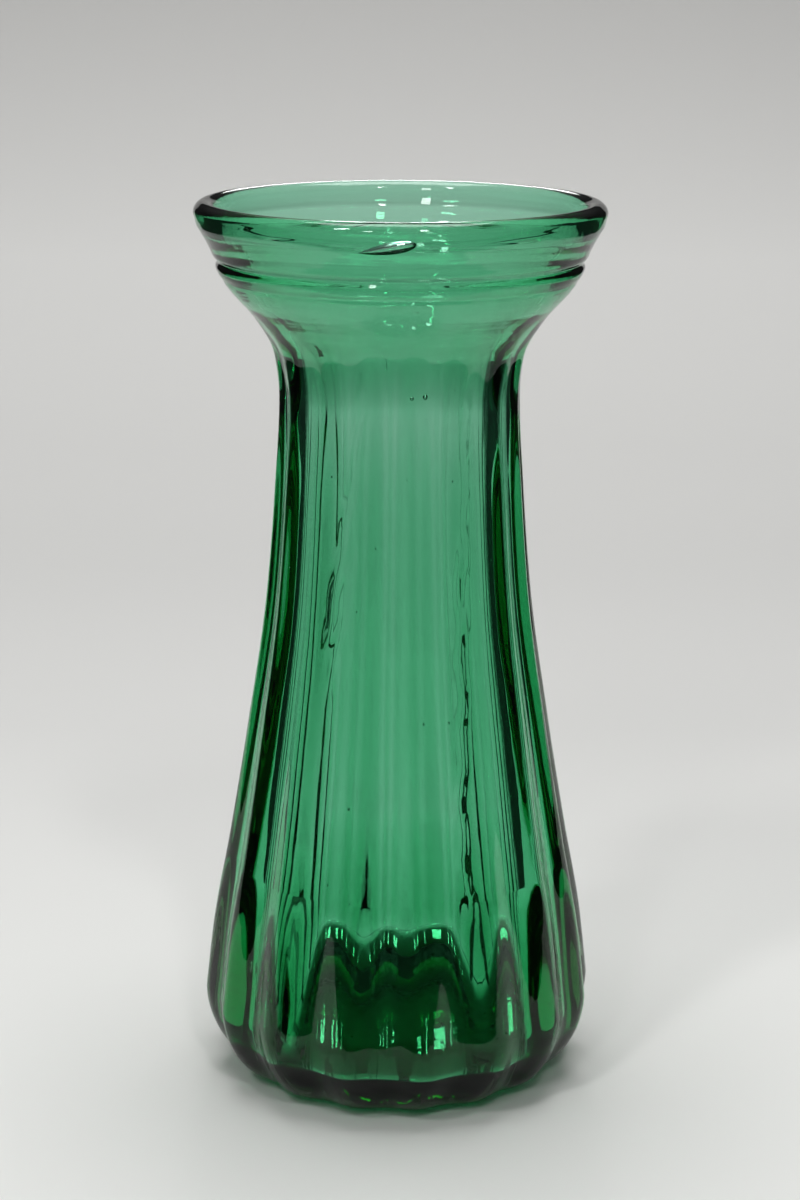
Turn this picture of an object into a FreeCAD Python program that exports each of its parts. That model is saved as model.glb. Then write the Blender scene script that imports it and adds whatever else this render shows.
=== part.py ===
"""Ribbed glass bulb vase: a mould-blown vessel with a wide belly, a narrow neck and a bulb cup on top.

The vessel is a single piece of glass. It is modelled once, as one body, and then divided at its
own visible changes of form into zones that meet face to face: the base, the ribbed body, the
neck, the bulb cup and the rim.

Frame: origin on the table under the middle of the foot, +Z up along the axis of the vessel.
Units: mm.
"""
import FreeCAD, Part
import math
import os
import Sketcher
from FreeCAD import Vector

doc = FreeCAD.newDocument("bulb_vase")

# ---------------------------------------------------------------- driving dimensions
SIZES = [
    # heights above the table
    ("height", 205.0),
    ("belly_height", 17.0),
    ("neck_start", 150.0),
    ("throat_top", 163.0),
    ("crease_height", 193.0),
    ("lip_height", 202.4),
    ("floor_height", 13.0),
    # outer wall, measured in the troughs between the ribs
    ("trough_belly", 43.1),
    ("trough_neck", 26.3),
    ("crease", 42.2),
    ("foot_edge", 30.6),
    ("foot_inner", 27.0),
    ("foot_recess", 4.0),
    # inner wall
    ("cavity_belly", 38.0),
    ("throat", 23.5),
    ("cavity_crease", 37.2),
    ("mouth", 41.2),
    ("floor_edge", 34.0),
    # radii of the curves of the wall
    ("waist_curve", 275.0),
    ("belly_curve", 100.0),
    ("heel_curve", 17.81),
    ("flare_curve", 24.2),
    ("bowl_curve", 22.8),
    ("cavity_heel_curve", 4.0),
    ("cavity_flare_curve", 27.0),
    ("cavity_bowl_curve", 19.0),
    ("lip_curve", 2.6),
    # ribs: a round bead half sunk in the wall
    ("rib_count", 16),
    ("bead", 4.5),
    ("rib_line_belly", 41.2),
    ("rib_line_neck", 23.4),
    ("rib_heel_curve", 11.9),
    ("rib_top", 178.0),
    # the tools that divide the glass into zones reach past it
    ("reach", 60.0),
]

sheet = doc.addObject("Spreadsheet::Sheet", "sizes")
for row, (word, value) in enumerate(SIZES, start=1):
    sheet.set(f"A{row}", word)
    sheet.set(f"B{row}", str(value))
    sheet.setAlias(f"B{row}", word)
doc.recompute()


def size(word):
    """The number that a cell of the sheet holds."""
    return float(getattr(sheet, word))


# ---------------------------------------------------------------- sketch helpers
def origin_plane(body, role):
    return [item for item in body.Origin.OriginFeatures if item.Role == role][0]


def new_sketch(body, name, role):
    sketch = body.newObject("Sketcher::SketchObject", name)
    sketch.AttachmentSupport = [(origin_plane(body, role), "")]
    sketch.MapMode = "FlatFace"
    return sketch


def bind(sketch, index, word):
    """Name a constraint after a cell and let the cell drive it."""
    sketch.renameConstraint(index, f"{word}_{index}")
    sketch.setExpression(f"Constraints.{word}_{index}", f"sizes.{word}")


class Outline:
    """A chain of lines and arcs in a sketch, drawn from point to point and then constrained."""

    def __init__(self, sketch, start):
        self.sketch = sketch
        self.pen = Vector(*start, 0)
        self.last = None
        self.first = None

    def _join(self, geometry, ends, tangent):
        if self.last is None:
            self.first = (geometry, ends[0])
        elif tangent:
            self._add("Tangent", self.last[0], self.last[1], geometry, ends[0])
        else:
            self._add("Coincident", self.last[0], self.last[1], geometry, ends[0])
        self.last = (geometry, ends[1])

    def _add(self, *constraint):
        return self.sketch.addConstraint(Sketcher.Constraint(*constraint))

    def line(self, end, tangent=False, along=None):
        """A straight run; along is Vertical or Horizontal where the run is held that way."""
        end = Vector(*end, 0)
        geometry = self.sketch.addGeometry(Part.LineSegment(self.pen, end), False)
        self._join(geometry, (1, 2), tangent)
        if along:
            self._add(along, geometry)
        self.pen = end
        return self

    def arc(self, end, radius_word, turn, tangent=False):
        """An arc to end; turn is 1 where it curves to the left of its travel, else -1."""
        end = Vector(*end, 0)
        radius = size(radius_word)
        chord = end - self.pen
        left = Vector(-chord.y, chord.x, 0).normalize()
        sagitta = radius - math.sqrt(radius ** 2 - (chord.Length / 2) ** 2)
        middle = (self.pen + end) * 0.5 - left * (turn * sagitta)
        curve = Part.Arc(self.pen, middle, end).toShape().Curve
        centre = (curve.Center.x, curve.Center.y)
        circle = Part.Circle(Vector(*centre, 0), Vector(0, 0, 1), radius)
        first, second = (self.pen, end) if turn > 0 else (end, self.pen)
        angles = [math.atan2(point.y - centre[1], point.x - centre[0]) for point in (first, second)]
        geometry = self.sketch.addGeometry(Part.ArcOfCircle(circle, *angles), False)
        self._join(geometry, (1, 2) if turn > 0 else (2, 1), tangent)
        bind(self.sketch, self._add("Radius", geometry, radius), radius_word)
        self.pen = end
        return self

    def pin(self, across=None, up=None):
        """Hold the point that was drawn last at cells of the sheet.

        Where across or up is 0, the point is held on the axis or on the table instead.
        """
        held = (("DistanceX", across, self.pen.x, -2), ("DistanceY", up, self.pen.y, -1))
        for kind, word, value, sketch_axis in held:
            if word == 0:
                self._add("PointOnObject", self.last[0], self.last[1], sketch_axis)
            elif word is not None:
                index = self._add(kind, -1, 1, self.last[0], self.last[1], value)
                bind(self.sketch, index, word)
        return self

    def centre(self, direction):
        """Hold the last arc's centre Horizontal (level) or Vertical (plumb) with its end."""
        self._add(direction, self.last[0], 3, self.last[0], self.last[1])
        return self

    def close(self):
        self._add("Coincident", self.last[0], self.last[1], self.first[0], self.first[1])


def s_curve(low, high, low_radius, high_radius):
    """Points where a wall leaves its belly arc and where it joins its waist arc.

    Both arcs start upright, at low and at high, and a straight run touches both.
    """
    across = low[0] - high[0]
    up = high[1] - low[1]
    total = low_radius + high_radius
    slope = math.atan2(across, up)
    for _ in range(40):
        run = (up - total * math.sin(slope)) / math.cos(slope)
        gap = across - total * (1 - math.cos(slope)) - run * math.sin(slope)
        slope += gap / up
    leave = (low[0] - low_radius * (1 - math.cos(slope)), low[1] + low_radius * math.sin(slope))
    join = (high[0] + high_radius * (1 - math.cos(slope)), high[1] - high_radius * math.sin(slope))
    return leave, join


def flare(start, end, first_radius, second_radius):
    """The point where the flare above the neck turns over into the bowl of the cup.

    The flare starts upright at start, and the bowl, which it touches, ends at end.
    """
    centre = (start[0] + first_radius, start[1])
    across, up = centre[0] - end[0], end[1] - centre[1]
    away = math.hypot(across, up)
    total = first_radius + second_radius
    inside = math.acos((away ** 2 + total ** 2 - second_radius ** 2) / (2 * away * total))
    lean = math.atan2(up, across) - inside
    return centre[0] - first_radius * math.cos(lean), centre[1] + first_radius * math.sin(lean)


# ---------------------------------------------------------------- the vessel
vessel = doc.addObject("PartDesign::Body", "vessel")

belly_up = size("belly_height")
neck_up = size("neck_start")
throat_up = size("throat_top")
crease_up = size("crease_height")
lip_up = size("lip_height")
lip_radius = size("lip_curve")
lip_centre = size("mouth") + lip_radius

# Outer wall in the troughs: foot, heel, belly, waist, neck, flare, bowl, crease and rounded lip.
wall = new_sketch(vessel, "outer_wall", "XZ_Plane")
belly = (size("trough_belly"), belly_up)
neck = (size("trough_neck"), neck_up)
leave, join = s_curve(belly, neck, size("belly_curve"), size("waist_curve"))
crease_point = (size("crease"), crease_up)
flare_start = (neck[0], throat_up)
turn_over = flare(flare_start, crease_point, size("flare_curve"), size("bowl_curve"))
reach_to_lip = (lip_centre - crease_point[0], lip_up - crease_up)
lip_lean = math.atan2(*reach_to_lip) + math.asin(lip_radius / math.hypot(*reach_to_lip))
lip_touch = (lip_centre + lip_radius * math.cos(lip_lean), lip_up - lip_radius * math.sin(lip_lean))

outline = Outline(wall, (0, size("foot_recess")))
outline.line((size("foot_inner"), 0)).pin(across="foot_inner", up=0)
outline.line((size("foot_edge"), 0)).pin(across="foot_edge", up=0)
outline.arc(belly, "heel_curve", 1).pin(across="trough_belly", up="belly_height")
outline.arc(leave, "belly_curve", 1, tangent=True)
outline.line(join, tangent=True)
outline.arc(neck, "waist_curve", -1, tangent=True).pin(across="trough_neck", up="neck_start")
outline.line(flare_start, tangent=True, along="Vertical").pin(up="throat_top")
outline.arc(turn_over, "flare_curve", -1, tangent=True)
outline.arc(crease_point, "bowl_curve", 1, tangent=True).pin(across="crease", up="crease_height")
outline.line(lip_touch)
lip = outline.arc((size("mouth"), lip_up), "lip_curve", 1, tangent=True)
lip.pin(across="mouth", up="lip_height").centre("Horizontal")
outline.line((0, lip_up), along="Horizontal").pin(across=0)
outline.line((0, size("foot_recess"))).pin(across=0, up="foot_recess")
outline.close()
doc.recompute()

blank = vessel.newObject("PartDesign::Revolution", "blank")
blank.Profile = wall
blank.ReferenceAxis = (wall, ["V_Axis"])
blank.Angle = 360
wall.Visibility = False
doc.recompute()

# One rib: a bead that follows the wall from inside the flare down round the heel.
rib_belly = (size("rib_line_belly"), belly_up)
rib_neck = (size("rib_line_neck"), neck_up)
leave, join = s_curve(rib_belly, rib_neck, size("belly_curve"), size("waist_curve"))
rib_turn = size("rib_heel_curve")
rib_foot = (rib_belly[0] - rib_turn, rib_belly[1] - rib_turn)

rib_line = new_sketch(vessel, "rib_line", "XZ_Plane")
path = Outline(rib_line, (rib_neck[0], size("rib_top")))
path.line(rib_neck, along="Vertical").pin(across="rib_line_neck", up="neck_start")
path.arc(join, "waist_curve", 1, tangent=True)
path.line(leave, tangent=True)
path.arc(rib_belly, "belly_curve", -1, tangent=True).pin(across="rib_line_belly", up="belly_height")
path.centre("Horizontal")
path.arc(rib_foot, "rib_heel_curve", -1, tangent=True).centre("Vertical")
top_index = rib_line.addConstraint(Sketcher.Constraint("DistanceY", -1, 1, 0, 1, size("rib_top")))
bind(rib_line, top_index, "rib_top")

rib_section = new_sketch(vessel, "rib_section", "XY_Plane")
rib_section.setExpression(".AttachmentOffset.Base.z", "sizes.rib_top")
circle = rib_section.addGeometry(
    Part.Circle(Vector(rib_neck[0], 0, 0), Vector(0, 0, 1), size("bead")), False
)
bind(rib_section, rib_section.addConstraint(Sketcher.Constraint("Radius", circle, size("bead"))), "bead")
across = rib_section.addConstraint(Sketcher.Constraint("DistanceX", -1, 1, circle, 3, rib_neck[0]))
bind(rib_section, across, "rib_line_neck")
rib_section.addConstraint(Sketcher.Constraint("PointOnObject", circle, 3, -1))
doc.recompute()

rib = vessel.newObject("PartDesign::AdditivePipe", "rib")
rib.Profile = rib_section
rib.Spine = (rib_line, [f"Edge{index + 1}" for index in range(rib_line.GeometryCount)])
doc.recompute()

ribs = vessel.newObject("PartDesign::PolarPattern", "ribs")
ribs.Originals = [rib]
ribs.Axis = (wall, ["V_Axis"])
ribs.Angle = 360
ribs.setExpression("Occurrences", "sizes.rib_count")
vessel.Tip = ribs
doc.recompute()

# Cavity: level floor, smooth inner wall, a short straight throat and the inside of the cup.
cavity_line = new_sketch(vessel, "cavity_line", "XZ_Plane")
floor_up = size("floor_height")
inner_belly = (size("cavity_belly"), belly_up)
throat_low = (size("throat"), neck_up)
throat_high = (size("throat"), throat_up)
inner_crease = (size("cavity_crease"), crease_up)
leave, join = s_curve(inner_belly, throat_low, size("belly_curve"), size("waist_curve"))
turn_over = flare(throat_high, inner_crease, size("cavity_flare_curve"), size("cavity_bowl_curve"))

outline = Outline(cavity_line, (0, floor_up))
outline.line((size("floor_edge"), floor_up)).pin(across="floor_edge", up="floor_height")
outline.arc(inner_belly, "cavity_heel_curve", 1).pin(across="cavity_belly", up="belly_height")
outline.arc(leave, "belly_curve", 1, tangent=True)
outline.line(join, tangent=True)
outline.arc(throat_low, "waist_curve", -1, tangent=True).pin(across="throat", up="neck_start")
outline.line(throat_high, tangent=True, along="Vertical").pin(up="throat_top")
outline.arc(turn_over, "cavity_flare_curve", -1, tangent=True)
outline.arc(inner_crease, "cavity_bowl_curve", 1, tangent=True)
outline.pin(across="cavity_crease", up="crease_height")
outline.line((size("mouth"), lip_up)).pin(across="mouth", up="lip_height")
outline.line((0, lip_up), along="Horizontal").pin(across=0)
outline.line((0, floor_up)).pin(across=0, up="floor_height")
outline.close()
doc.recompute()

volume_before = vessel.Shape.Volume
cavity = vessel.newObject("PartDesign::Groove", "cavity")
cavity.Profile = cavity_line
cavity.ReferenceAxis = (cavity_line, ["V_Axis"])
cavity.Angle = 360
vessel.Tip = cavity
doc.recompute()
if not vessel.Shape.Volume < 0.5 * volume_before:
    raise RuntimeError("the cavity cut nothing")

# ---------------------------------------------------------------- the zones of the glass
ZONES = [
    # node, cell of its lower plane, cell of its upper plane
    ("base", None, "belly_height"),
    ("ribbed_body", "belly_height", "neck_start"),
    ("neck", "neck_start", "throat_top"),
    ("bulb_cup", "throat_top", "crease_height"),
    ("rim", "crease_height", None),
]

nodes = []
for node, lower, upper in ZONES:
    slab = doc.addObject("Part::Cylinder", f"{node}_slab")
    slab.setExpression("Radius", "sizes.reach")
    low = f"sizes.{lower}" if lower else "-sizes.reach"
    high = f"sizes.{upper}" if upper else "sizes.height + sizes.reach"
    slab.setExpression(".Placement.Base.z", f"({low}) * 1 mm")
    slab.setExpression("Height", f"(({high}) - ({low})) * 1 mm")
    zone = doc.addObject("Part::Common", node)
    zone.Label = node
    zone.Base = vessel
    zone.Tool = slab
    nodes.append(zone)
doc.recompute()

# ---------------------------------------------------------------- checks and output
for item in doc.Objects:
    if "Invalid" in item.State or "Error" in item.State:
        raise RuntimeError(f"{item.Name} did not compute: {item.State}")

total = 0.0
for zone in nodes:
    shape = zone.Shape
    if shape.isNull() or not shape.isValid() or len(shape.Solids) != 1:
        raise RuntimeError(f"{zone.Label} is not one valid solid")
    total += shape.Volume
if abs(total - vessel.Shape.Volume) > 1e-4 * total:
    raise RuntimeError("the zones do not add up to the vessel")
box = vessel.Shape.optimalBoundingBox()
if abs(box.ZMax - size("height")) > 0.01 or abs(box.ZMin) > 0.01:
    raise RuntimeError(f"the vessel reaches from {box.ZMin} to {box.ZMax}")

os.makedirs("parts", exist_ok=True)
for zone in nodes:
    zone.Shape.exportStep(f"parts/{zone.Label}.step")
    box = zone.Shape.optimalBoundingBox()
    print(f"{zone.Label}: {zone.Shape.Volume / 1000:.1f} cm3, z {box.ZMin:.1f} to {box.ZMax:.1f}")
print(f"vessel: {vessel.Shape.Volume / 1000:.1f} cm3, {len(vessel.Shape.Faces)} faces")
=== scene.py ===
"""A mould-blown green bulb vase: one continuous vessel of thick ribbed glass with trapped bubbles.

Everything is in metres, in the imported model's frame: +Z up along the vessel, the origin on the
table under the middle of the foot, a rib on +X, and the viewer near the -Y side.
"""

import math

import bmesh
import bpy
import numpy as np
from mathutils import Matrix, Vector


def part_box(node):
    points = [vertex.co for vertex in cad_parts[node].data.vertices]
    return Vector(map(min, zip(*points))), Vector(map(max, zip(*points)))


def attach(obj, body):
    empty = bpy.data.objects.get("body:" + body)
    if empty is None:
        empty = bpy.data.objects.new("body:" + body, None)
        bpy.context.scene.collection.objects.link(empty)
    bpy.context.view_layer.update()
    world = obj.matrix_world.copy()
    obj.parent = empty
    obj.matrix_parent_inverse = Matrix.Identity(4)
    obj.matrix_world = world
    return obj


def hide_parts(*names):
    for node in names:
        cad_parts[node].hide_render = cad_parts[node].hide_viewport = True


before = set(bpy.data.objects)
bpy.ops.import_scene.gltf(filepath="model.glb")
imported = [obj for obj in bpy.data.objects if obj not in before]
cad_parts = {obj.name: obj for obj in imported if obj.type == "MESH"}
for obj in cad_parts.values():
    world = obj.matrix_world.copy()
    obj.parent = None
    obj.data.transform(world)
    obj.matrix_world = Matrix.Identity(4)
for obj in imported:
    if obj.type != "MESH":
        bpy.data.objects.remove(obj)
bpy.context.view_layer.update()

MM = 0.001
SEED = 7
# How far round from the -Y side the viewer stands. The paper and the lights are turned as far.
VIEW_ANGLE = math.radians(-7.35)
FRONT = VIEW_ANGLE - math.pi / 2
ZONES = {zone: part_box(zone) for zone in ("base", "ribbed_body", "neck", "bulb_cup", "rim")}

# ---------------------------------------------------------------- the vessel's outline
# A point of the wall is (zone, share of the zone's height, radius or thickness in mm).
# Radii of the outer wall are taken over the ribs.
OUTER_WALL = [
    ("ribbed_body", 0.02, 45.8),
    ("ribbed_body", 0.14, 43.9),
    ("ribbed_body", 0.31, 39.7),
    ("ribbed_body", 0.51, 35.2),
    ("ribbed_body", 0.74, 30.7),
    ("ribbed_body", 0.92, 28.7),
    ("neck", 0.90, 27.5),
    ("bulb_cup", 0.27, 28.6),
    ("bulb_cup", 0.53, 32.8),
    ("bulb_cup", 0.77, 39.0),
    ("bulb_cup", 0.90, 41.3),
    ("rim", 0.06, 42.4),
    ("rim", 0.58, 45.7),
]
# How thick the glass is at each height, behind a rib.
WALL = [
    ("ribbed_body", 0.02, 6.4),
    ("ribbed_body", 0.25, 6.2),
    ("ribbed_body", 0.60, 6.0),
    ("ribbed_body", 0.90, 5.2),
    ("neck", 0.50, 4.0),
    ("bulb_cup", 0.40, 6.2),
    ("bulb_cup", 0.90, 6.0),
    ("rim", 0.10, 5.4),
    ("rim", 0.58, 4.9),
]
CAVITY_TURN = ("ribbed_body", 0.25)
CAVITY_ROUNDNESS = 2.8
FLOOR = 11.0 * MM
FLOOR_RADIUS = 36.5 * MM
FLOOR_CROWN = 1.5 * MM
FOOT_RADIUS = 31.0 * MM
FOOT_HOLLOW = 4.0 * MM
HEEL_ROUNDNESS = 1.9
LIP = 2.6 * MM
LIP_BULGE = 0.6 * MM
LIP_START = 0.1

RIBS = 16
# How far the ribs stand out of the troughs, on the outer wall.
RIB_HEIGHT = [
    ("base", 0.10, 1.4),
    ("base", 0.60, 2.4),
    ("ribbed_body", 0.25, 2.1),
    ("ribbed_body", 0.50, 1.5),
    ("ribbed_body", 0.95, 1.1),
    ("bulb_cup", 0.25, 0.6),
    ("bulb_cup", 0.60, 0.0),
]
# Unevenness of the ribs' places and of their height, in waves of (pace, size, start).
RIB_DRIFT = [(2, 0.10, 0.7), (5, 0.08, 2.1)]
RIB_STRENGTH = [(3, 0.08, 1.3), (4, 0.06, 0.0)]

# Lines pressed into the outer wall round the cup: zone, share of its height, depth and half width
# in mm.
CREASES = [
    ("bulb_cup", 0.96, 0.85, 0.8),
    ("bulb_cup", 0.83, 0.18, 0.5),
]
# Drawn lines in the outer wall: places along each as (zone, share of its height, degrees from the
# view's centre line), then the depth and half width in mm.
CORDS = [
    (
        [("bulb_cup", 0.25, -17), ("neck", 0.30, -20), ("ribbed_body", 0.85, -27),
         ("ribbed_body", 0.68, -32)],
        0.5, 0.5,
    ),
    (
        [("ribbed_body", 0.86, -20), ("ribbed_body", 0.74, -25), ("ribbed_body", 0.60, -30)],
        0.4, 0.5,
    ),
    (
        [("ribbed_body", 0.86, 27), ("ribbed_body", 0.60, 26), ("ribbed_body", 0.38, 23),
         ("ribbed_body", 0.22, 25)],
        0.5, 0.6,
    ),
    (
        [("bulb_cup", 0.1, 33), ("ribbed_body", 0.88, 31), ("ribbed_body", 0.70, 29)],
        0.4, 0.5,
    ),
]
# How the drawn lines wander sideways with height, and how they end.
CORD_WANDER = [(400, 0.012, 0.0), (1100, 0.006, 0.0)]
CORD_FADE_LOW = 6 * MM
CORD_FADE_HIGH = 3 * MM

COLUMNS = RIBS * 18
HEEL_ROWS = 26
FLAT_ROWS = 8
LIP_ROWS = 14
# The wall's rings stand this far apart, in mm, from each mark up to the next.
WALL_MARKS = [
    OUTER_WALL[0][:2],
    ("neck", 0.5),
    ("bulb_cup", 0.78),
    ("rim", 0.1),
    OUTER_WALL[-1][:2],
]
WALL_STEPS = [2.2, 1.2, 0.4, 0.8]


def level(zone, share):
    """The height at a share of the way up a zone of the glass."""
    low, high = ZONES[zone]
    return low.z + share * (high.z - low.z)


def smooth_curve(points, at):
    """A curve through points with no overshoot: each value in at, read off points (x, y)."""
    x, y = np.array(points).T
    step = np.diff(x)
    slope = np.diff(y) / step
    lean = np.zeros(len(x))
    lean[0], lean[-1] = slope[0], slope[-1]
    for i in range(1, len(x) - 1):
        before, after = slope[i - 1], slope[i]
        if before * after > 0:
            weight = (2 * step[i] + step[i - 1], step[i] + 2 * step[i - 1])
            lean[i] = sum(weight) / (weight[0] / before + weight[1] / after)
    at = np.clip(at, x[0], x[-1])
    i = np.clip(np.searchsorted(x, at) - 1, 0, len(step) - 1)
    t = (at - x[i]) / step[i]
    return (
        (1 + 2 * t) * (1 - t) ** 2 * y[i]
        + t * (1 - t) ** 2 * step[i] * lean[i]
        + t * t * (3 - 2 * t) * y[i + 1]
        + t * t * (t - 1) * step[i] * lean[i + 1]
    )


def read_table(table, height):
    """A wall's value in metres at a height."""
    return smooth_curve([(level(zone, share), value * MM) for zone, share, value in table], height)


def waves_at(place, waves):
    """The sum of sine waves of (pace, size, start) at a place."""
    return sum(size * np.sin(pace * place + start) for pace, size, start in waves)


def rib_wave(angle):
    """1 along a rib and 0 along a trough, with ribs that are a little uneven as blown glass is."""
    strength = 1 + waves_at(angle, RIB_STRENGTH)
    return strength * (1 + np.cos(RIBS * angle + waves_at(angle, RIB_DRIFT))) / 2


def crease_depth(height):
    """How deep the lines round the cup are at a height, in metres."""
    return sum(
        depth * MM * np.exp(-(((height - level(zone, share)) / (width * MM)) ** 2))
        for zone, share, depth, width in CREASES
    )


def cord_depth(height, angle):
    """How deep the drawn lines are, for a column of heights and a row of angles, in metres."""
    total = 0
    for places, depth, half_width in CORDS:
        line = sorted((level(zone, share), side) for zone, share, side in places)
        low, high = line[0][0], line[-1][0]
        path = FRONT + np.radians(smooth_curve(line, height)) + waves_at(height, CORD_WANDER)
        away = (angle - path[:, None] + math.pi) % (2 * math.pi) - math.pi
        across = away * read_table(OUTER_WALL, height)[:, None] / (half_width * MM)
        fade = np.clip((height - low) / CORD_FADE_LOW, 0, 1)
        fade = fade * np.clip((high - height) / CORD_FADE_HIGH, 0, 1)
        total = total + depth * MM * np.exp(-(across**2)) * fade[:, None]
    return total


def wall_heights():
    """Heights of the wall's rings, close together where the cup bends and is creased."""
    heights = []
    for start, end, step in zip(WALL_MARKS, WALL_MARKS[1:], WALL_STEPS):
        low, high = level(*start), level(*end)
        heights.append(np.linspace(low, high, round((high - low) / (step * MM)), endpoint=False))
    return np.concatenate(heights + [[level(*WALL_MARKS[-1])]])


def rounded(low, high, roundness, rows):
    """A corner from low, on the flat, out and up to high, where it stands upright."""
    turn = np.linspace(0, math.pi / 2, rows)
    across = np.sin(turn) ** (2 / roundness)
    up = 1 - np.cos(turn) ** (2 / roundness)
    return low[0] + (high[0] - low[0]) * across, low[1] + (high[1] - low[1]) * up


def rings(radius, height, ribs=0.0, outside=0.0):
    """Rings of the vessel: each one's radius over the ribs, height, ribs' height, and 1 outside."""
    return np.broadcast_arrays(radius, height, ribs, outside)


def vessel_profile():
    """The vessel's rings, from under the foot up outside, over the lip and down to the floor."""
    belly = level(*OUTER_WALL[0][:2])
    lip_foot = level(*OUTER_WALL[-1][:2])
    lip_up = ZONES["rim"][1].z - LIP
    lip_radius = float(read_table(OUTER_WALL, lip_foot)) - LIP + LIP_BULGE
    parts = []

    hollow = np.linspace(0, 1, FLAT_ROWS, endpoint=False)
    parts.append(rings(hollow * FOOT_RADIUS, FOOT_HOLLOW * (1 - hollow**2)))

    belly_point = (float(read_table(OUTER_WALL, belly)), belly)
    radius, height = rounded((FOOT_RADIUS, 0), belly_point, HEEL_ROUNDNESS, HEEL_ROWS)
    parts.append(rings(radius, height, read_table(RIB_HEIGHT, height)))

    height = wall_heights()[1:]
    radius = read_table(OUTER_WALL, height) - crease_depth(height)
    parts.append(rings(radius, height, read_table(RIB_HEIGHT, height), 1.0))

    turn = np.linspace(LIP_START, math.pi - LIP_START, LIP_ROWS)
    parts.append(rings(lip_radius + LIP * np.cos(turn), lip_up + LIP * np.sin(turn)))

    height = wall_heights()[::-1]
    height = np.append(height[height > level(*CAVITY_TURN)], level(*CAVITY_TURN))
    inside = read_table(OUTER_WALL, height) - read_table(WALL, height)
    parts.append(rings(inside, height))

    wall_end = (inside[-1], height[-1])
    radius, height = rounded((FLOOR_RADIUS, FLOOR), wall_end, CAVITY_ROUNDNESS, HEEL_ROWS)
    parts.append(rings(radius[-2::-1], height[-2::-1]))

    crown = np.linspace(1, 0, FLAT_ROWS)[1:]
    parts.append(rings(crown * FLOOR_RADIUS, FLOOR + FLOOR_CROWN * (1 - crown**2)))
    return [np.concatenate(column) for column in zip(*parts)]


def ring_mesh(name, x, y, z):
    """A closed mesh of rings whose first and last rings are single points."""
    rows, columns = x.shape
    points = np.stack([x, y, z], -1).reshape(-1, 3)
    faces = [
        (i * columns + j, i * columns + (j + 1) % columns, (i + 1) * columns + (j + 1) % columns,
         (i + 1) * columns + j)
        for i in range(rows - 1)
        for j in range(columns)
    ]
    mesh = bpy.data.meshes.new(name)
    mesh.from_pydata(points.tolist(), [], faces)
    return mesh


# ---------------------------------------------------------------- bubbles in the glass
# Bubbles worth placing: height, angle from the view's centre line in degrees, depth below the
# outside, half length, half height and half depth in mm, tilt in degrees, how pointed one end is.
BUBBLES = [
    (("rim", 0.56), -3.6, 2.5, (6.1, 1.6, 1.1), 9.6, 0.4),
    (("bulb_cup", 0.07), 12.0, 2.0, (0.5, 0.6, 0.4), 0.0, 0.0),
    (("bulb_cup", 0.06), 6.0, 2.0, (0.35, 0.4, 0.3), 0.0, 0.0),
    (("ribbed_body", 0.11), -54.5, 2.5, (0.45, 1.7, 0.5), 0.0, 0.0),
    (("ribbed_body", 0.11), -52.0, 2.5, (0.35, 1.3, 0.4), 0.0, 0.0),
]
# Small bubbles at random: how many, between which heights in metres, the least and most radius and
# depth in mm, and how much taller than wide they are.
FROTH = (150, (19.0 * MM, 27.0 * MM), (0.12, 0.30), (1.0, 4.5), 1)
SEEDS = (60, (level("ribbed_body", 0.1), level("bulb_cup", 0.7)), (0.10, 0.22), (0.8, 2.6), 2)


def outside_at(height, angle):
    """The outer wall's radius at a height and angle."""
    ribs = float(read_table(RIB_HEIGHT, height))
    return float(read_table(OUTER_WALL, height)) - ribs * (1 - float(rib_wave(angle)))


def ball(detail):
    """A ball's points, and its faces turned to look inwards."""
    made = bmesh.new()
    bmesh.ops.create_icosphere(made, subdivisions=detail, radius=1)
    made.verts.index_update()
    points = [vert.co.copy() for vert in made.verts]
    faces = [[vert.index for vert in reversed(face.verts)] for face in made.faces]
    made.free()
    return points, faces


def bubble(shape, height, angle, depth, half, tilt=0.0, point=0.0):
    """A hollow in the glass: a small closed shell whose faces look inwards."""
    out = Vector((math.cos(angle), math.sin(angle), 0))
    step = 0.5 * MM
    lean = (outside_at(height + step, angle) - outside_at(height - step, angle)) / (2 * step)
    up = (Vector((0, 0, 1)) + lean * out).normalized()
    along = up.cross(out).normalized()
    turn = Matrix((along, up, along.cross(up))).transposed() @ Matrix.Rotation(tilt, 3, "Z")
    place = out * (outside_at(height, angle) - depth) + Vector((0, 0, height))
    placed = []
    for x, y, z in shape[0]:
        narrow = max((1 + x) / 2, 0) ** point if point else 1
        local = Vector((x * half[0], y * half[1] * narrow, z * half[2] * narrow))
        placed.append(place + turn @ local)
    return placed, shape[1]


def placed_bubbles():
    """The bubbles that have a place of their own."""
    shape = ball(3)
    for (zone, share), side, depth, half, tilt, point in BUBBLES:
        half = [part * MM for part in half]
        angle = FRONT + math.radians(side)
        yield bubble(shape, level(zone, share), angle, depth * MM, half, math.radians(tilt), point)


def scattered_bubbles(chance, count, band, radius, depth, stretch):
    """Small bubbles at random in the glass, all the way round."""
    shape = ball(1)
    for _ in range(count):
        size = chance.uniform(*radius) * MM
        height = chance.uniform(*band)
        deep = chance.uniform(*depth) * MM
        angle = chance.uniform(0, 2 * math.pi)
        yield bubble(shape, height, angle, deep, (size, stretch * size, size))


def bubble_mesh():
    """All the bubbles' shells in one mesh."""
    chance = np.random.default_rng(SEED)
    shells = list(placed_bubbles())
    shells += scattered_bubbles(chance, *FROTH)
    shells += scattered_bubbles(chance, *SEEDS)
    points, faces = [], []
    for shell_points, shell_faces in shells:
        faces += [[index + len(points) for index in face] for face in shell_faces]
        points += shell_points
    mesh = bpy.data.meshes.new("bubbles")
    mesh.from_pydata(points, [], faces)
    return mesh


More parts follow.
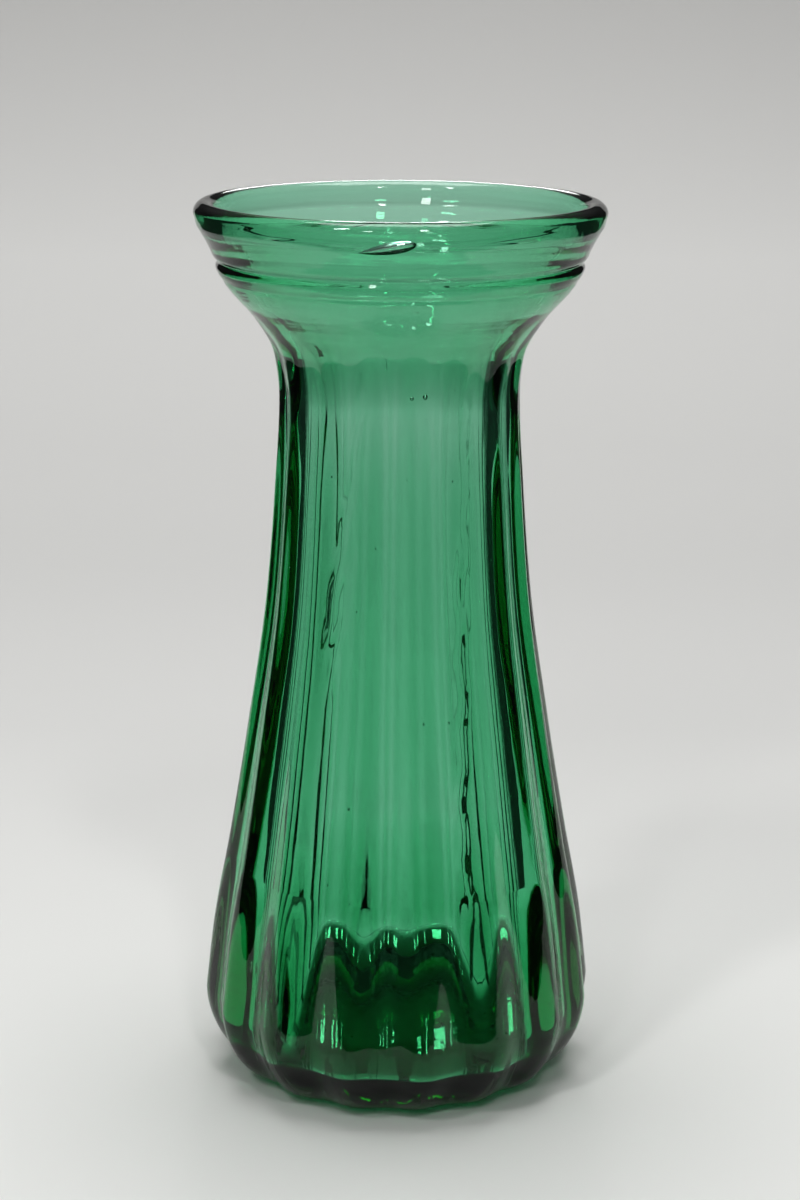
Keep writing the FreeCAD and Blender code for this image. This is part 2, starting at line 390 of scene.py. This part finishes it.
def make_vessel():
    """The vessel, as one closed mesh with its bubbles as hollows inside it."""
    radius, height, ribs, outside = vessel_profile()
    angle = np.linspace(0, 2 * math.pi, COLUMNS, endpoint=False)
    spread = radius[:, None] - ribs[:, None] * (1 - rib_wave(angle)[None, :])
    spread -= outside[:, None] * cord_depth(height, angle[None, :])
    spread = np.maximum(spread, 0)
    x = spread * np.cos(angle)[None, :]
    y = spread * np.sin(angle)[None, :]
    z = np.repeat(height[:, None], COLUMNS, 1)
    mesh = ring_mesh("vessel", x, y, z)
    made = bmesh.new()
    made.from_mesh(mesh)
    bmesh.ops.remove_doubles(made, verts=made.verts, dist=1e-6)
    bmesh.ops.recalc_face_normals(made, faces=made.faces)
    made.from_mesh(bubble_mesh())
    made.to_mesh(mesh)
    made.free()
    mesh.polygons.foreach_set("use_smooth", [True] * len(mesh.polygons))
    piece = bpy.data.objects.new("vessel", mesh)
    bpy.context.scene.collection.objects.link(piece)
    return piece


# ---------------------------------------------------------------- materials
GLASS_DENSITY = 240.0
GLASS_TINT = (0.25, 0.795, 0.57)
GLASS_IOR = 1.5
GLASS_ROUGHNESS = 0.01
# The surface's unevenness: waves a metre along x, y and z, and how deep they are.
STREAK_WAVES = (260.0, 260.0, 9.0)
RIPPLE_WAVES = (40.0, 40.0, 700.0)
RIPPLE_START = ("bulb_cup", 0.0)
RIPPLE_FULL = ("bulb_cup", 0.8)
SURFACE_WAVE = 0.05 * MM
# Painted shade on the paper along its length, from the front edge to the top, standing in for the
# light's falloff over the sweep: share of the length, grey.
PAPER_PAINTED_SHADE = [
    (0.0, 0.82),
    (0.18, 0.74),
    (0.30, 0.67),
    (0.49, 0.66),
    (0.63, 0.68),
    (0.75, 0.74),
    (0.90, 0.62),
]
PAPER_WARMTH = (1.0, 0.99, 0.97)
PAPER_ROUGHNESS = 0.8
PAPER_SPECULAR = 0.2


def new_material(name):
    """A material with an empty node tree."""
    material = bpy.data.materials.new(name)
    material.use_nodes = True
    material.node_tree.nodes.clear()
    return material, material.node_tree


def node(tree, kind, **values):
    """A shader node with some of its inputs set by name."""
    made = tree.nodes.new(kind)
    for key, value in values.items():
        made.inputs[key.replace("_", " ")].default_value = value
    return made


def grey_ramp(tree, tones, colour):
    """A ramp through greys of (place, grey), all tinted alike."""
    ramp = tree.nodes.new("ShaderNodeValToRGB")
    for place, _ in tones[1:-1]:
        ramp.color_ramp.elements.new(place)
    for element, (place, grey) in zip(ramp.color_ramp.elements, tones):
        element.position = place
        element.color = (*(grey * part for part in colour), 1)
    return ramp


def stretched_noise(tree, place, waves, detail):
    """Noise whose waves a metre differ by axis."""
    scaled = tree.nodes.new("ShaderNodeVectorMath")
    scaled.operation = "MULTIPLY"
    scaled.inputs[1].default_value = waves
    noise = node(tree, "ShaderNodeTexNoise", Scale=1.0, Detail=detail)
    tree.links.new(place, scaled.inputs[0])
    tree.links.new(scaled.outputs["Vector"], noise.inputs["Vector"])
    return noise.outputs["Fac"]


def wavy_surface(tree):
    """Faint drawn streaks down the whole wall, and fine level ripples from the cup up."""
    where = tree.nodes.new("ShaderNodeTexCoord").outputs["Object"]
    streaks = stretched_noise(tree, where, STREAK_WAVES, 2.0)
    ripples = stretched_noise(tree, where, RIPPLE_WAVES, 1.0)
    split = tree.nodes.new("ShaderNodeSeparateXYZ")
    start, full = level(*RIPPLE_START), level(*RIPPLE_FULL)
    rise = node(tree, "ShaderNodeMapRange", From_Min=start, From_Max=full)
    rise.interpolation_type = "SMOOTHSTEP"
    blend = tree.nodes.new("ShaderNodeMath")
    blend.operation = "MULTIPLY_ADD"
    bump = node(tree, "ShaderNodeBump", Strength=1.0, Distance=SURFACE_WAVE)
    tree.links.new(where, split.inputs["Vector"])
    tree.links.new(split.outputs["Z"], rise.inputs["Value"])
    tree.links.new(ripples, blend.inputs[0])
    tree.links.new(rise.outputs["Result"], blend.inputs[1])
    tree.links.new(streaks, blend.inputs[2])
    tree.links.new(blend.outputs["Value"], bump.inputs["Height"])
    return bump.outputs["Normal"]


def green_glass():
    """Clear glass whose green deepens with the thickness that is looked through."""
    material, tree = new_material("green_glass")
    out = tree.nodes.new("ShaderNodeOutputMaterial")
    surface = node(tree, "ShaderNodeBsdfPrincipled", IOR=GLASS_IOR, Roughness=GLASS_ROUGHNESS)
    surface.inputs["Transmission Weight"].default_value = 1.0
    surface.inputs["Base Color"].default_value = (1, 1, 1, 1)
    tint = node(tree, "ShaderNodeVolumeAbsorption", Density=GLASS_DENSITY)
    tint.inputs["Color"].default_value = (*GLASS_TINT, 1)
    tree.links.new(surface.outputs["BSDF"], out.inputs["Surface"])
    tree.links.new(tint.outputs["Volume"], out.inputs["Volume"])
    tree.links.new(wavy_surface(tree), surface.inputs["Normal"])
    return material


def floor_paper():
    """Matt off-white paper with painted shade: its grey, lighter or darker for the light's falloff,
    follows the mesh's attribute called along.
    """
    material, tree = new_material("floor_paper")
    out = tree.nodes.new("ShaderNodeOutputMaterial")
    surface = node(tree, "ShaderNodeBsdfPrincipled", Roughness=PAPER_ROUGHNESS)
    surface.inputs["Specular IOR Level"].default_value = PAPER_SPECULAR
    along = tree.nodes.new("ShaderNodeAttribute")
    along.attribute_name = "along"
    # Painted shade: the paper's grey along its length stands in for the light's falloff, not for
    # the paper's own colour.
    tone = grey_ramp(tree, PAPER_PAINTED_SHADE, PAPER_WARMTH)
    tree.links.new(along.outputs["Fac"], tone.inputs["Fac"])
    tree.links.new(tone.outputs["Color"], surface.inputs["Base Color"])
    tree.links.new(surface.outputs["BSDF"], out.inputs["Surface"])
    return material


# ---------------------------------------------------------------- stage, lights and camera
PAPER_HALF_WIDTH = 0.38
PAPER_FRONT = -0.10
PAPER_BACK = 0.55
PAPER_TURN = 0.35
PAPER_TOP = 0.36
PAPER_ROWS = 16

# Lights: name, place, height aimed at, width and depth, power.
LIGHTS = [
    ("softbox", (0.0, 0.25, 1.5), 0.0, (1.0, 0.8), 11.0),
    ("backlight", (0.0, 1.5, 1.2), 0.0, (0.8, 0.6), 1.0),
    ("low_window", (0.0, 1.6, 0.82), 0.0, (0.20, 0.15), 1.3),
    ("window_left", (-0.75, -0.9, 1.5), 0.1, (0.16, 0.35), 4.0),
    ("window_right", (0.35, -1.3, 1.6), 0.1, (0.14, 0.35), 4.0),
    ("window_front", (-0.42, -1.3, 1.08), 0.1, (0.12, 0.40), 1.8),
]
# The room's brightness by the sine of the angle above the level: dim at the sides, bright overhead.
ROOM_TONES = [(-1.0, 0.02), (0.0, 0.03), (0.25, 0.05), (0.5, 0.16), (1.0, 0.35)]
ROOM_COLOUR = (0.97, 1.0, 1.0)

CAMERA_AWAY = 0.6094
CAMERA_UP = 0.2702
CAMERA_PITCH = math.radians(14.48)
CAMERA_YAW = -0.0005
CAMERA_ROLL = 0.0050
CAMERA_CONTRAST = "Medium High Contrast"
# The focal length over the height of an 800 x 1200 picture.
FOCAL_SHARE = 2720 / 1200
SENSOR = 36
GLASS_BOUNCES = 24


def make_floor():
    """A pale sheet that runs level behind the vessel and then sweeps up."""
    bend = np.linspace(0, math.pi / 2, PAPER_ROWS)
    line = [(PAPER_FRONT, 0.0)]
    line += [(PAPER_BACK + PAPER_TURN * math.sin(a), PAPER_TURN * (1 - math.cos(a))) for a in bend]
    line.append((PAPER_BACK + PAPER_TURN, PAPER_TOP))
    points = [(side * PAPER_HALF_WIDTH, y, z) for y, z in line for side in (-1, 1)]
    faces = [(2 * i, 2 * i + 1, 2 * i + 3, 2 * i + 2) for i in range(len(line) - 1)]
    mesh = bpy.data.meshes.new("floor")
    mesh.from_pydata(points, [], faces)
    mesh.polygons.foreach_set("use_smooth", [True] * len(faces))
    travel = np.cumsum([0.0] + [math.dist(a, b) for a, b in zip(line, line[1:])])
    # The share of the way along the paper, which sets its painted shade.
    along = mesh.attributes.new("along", "FLOAT", "POINT")
    along.data.foreach_set("value", np.repeat(travel / travel[-1], 2))
    mesh.materials.append(floor_paper())
    floor = bpy.data.objects.new("floor", mesh)
    floor.rotation_euler.z = VIEW_ANGLE
    bpy.context.scene.collection.objects.link(floor)


def area_light(name, place, aim, size, power):
    """A flat light, placed from the viewer's side and turned to a height on the vessel's axis."""
    light = bpy.data.lights.new(name, "AREA")
    light.shape = "RECTANGLE"
    light.size, light.size_y = size
    light.energy = power
    lamp = bpy.data.objects.new(name, light)
    lamp.location = Matrix.Rotation(VIEW_ANGLE, 3, "Z") @ Vector(place)
    lamp.rotation_euler = (Vector((0, 0, aim)) - lamp.location).to_track_quat("-Z", "Y").to_euler()
    bpy.context.scene.collection.objects.link(lamp)


def make_room():
    """A dark room with a paler ceiling, for the glass to reflect."""
    world = bpy.data.worlds.new("room")
    world.use_nodes = True
    tree = world.node_tree
    look = tree.nodes.new("ShaderNodeTexCoord")
    split = tree.nodes.new("ShaderNodeSeparateXYZ")
    shift = node(tree, "ShaderNodeMapRange", From_Min=-1)
    tone = grey_ramp(tree, [((sine + 1) / 2, grey) for sine, grey in ROOM_TONES], ROOM_COLOUR)
    tree.links.new(look.outputs["Generated"], split.inputs["Vector"])
    tree.links.new(split.outputs["Z"], shift.inputs["Value"])
    tree.links.new(shift.outputs["Result"], tone.inputs["Fac"])
    tree.links.new(tone.outputs["Color"], tree.nodes["Background"].inputs["Color"])
    bpy.context.scene.world = world


def make_camera():
    """A camera that looks down at the vessel from a little above the lip."""
    camera = bpy.data.cameras.new("camera")
    camera.sensor_width = SENSOR
    camera.lens = FOCAL_SHARE * SENSOR
    holder = bpy.data.objects.new("camera", camera)
    holder.matrix_world = (
        Matrix.Rotation(VIEW_ANGLE, 4, "Z")
        @ Matrix.Translation((0, -CAMERA_AWAY, CAMERA_UP))
        @ Matrix.Rotation(CAMERA_YAW, 4, "Z")
        @ Matrix.Rotation(math.pi / 2 - CAMERA_PITCH, 4, "X")
        @ Matrix.Rotation(CAMERA_ROLL, 4, "Z")
    )
    bpy.context.scene.collection.objects.link(holder)
    bpy.context.scene.camera = holder


def set_light_paths():
    """Glass this thick needs many bounces before light leaves it."""
    scene = bpy.context.scene
    scene.cycles.max_bounces = GLASS_BOUNCES
    scene.cycles.transmission_bounces = GLASS_BOUNCES
    scene.cycles.glossy_bounces = 8
    scene.cycles.transparent_max_bounces = 16
    scene.view_settings.view_transform = "Standard"
    scene.view_settings.look = CAMERA_CONTRAST


vessel = make_vessel()
vessel.data.materials.append(green_glass())
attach(vessel, "root")
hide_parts("base", "ribbed_body", "neck", "bulb_cup", "rim")
make_floor()
for light in LIGHTS:
    area_light(*light)
make_room()
make_camera()
set_light_paths()
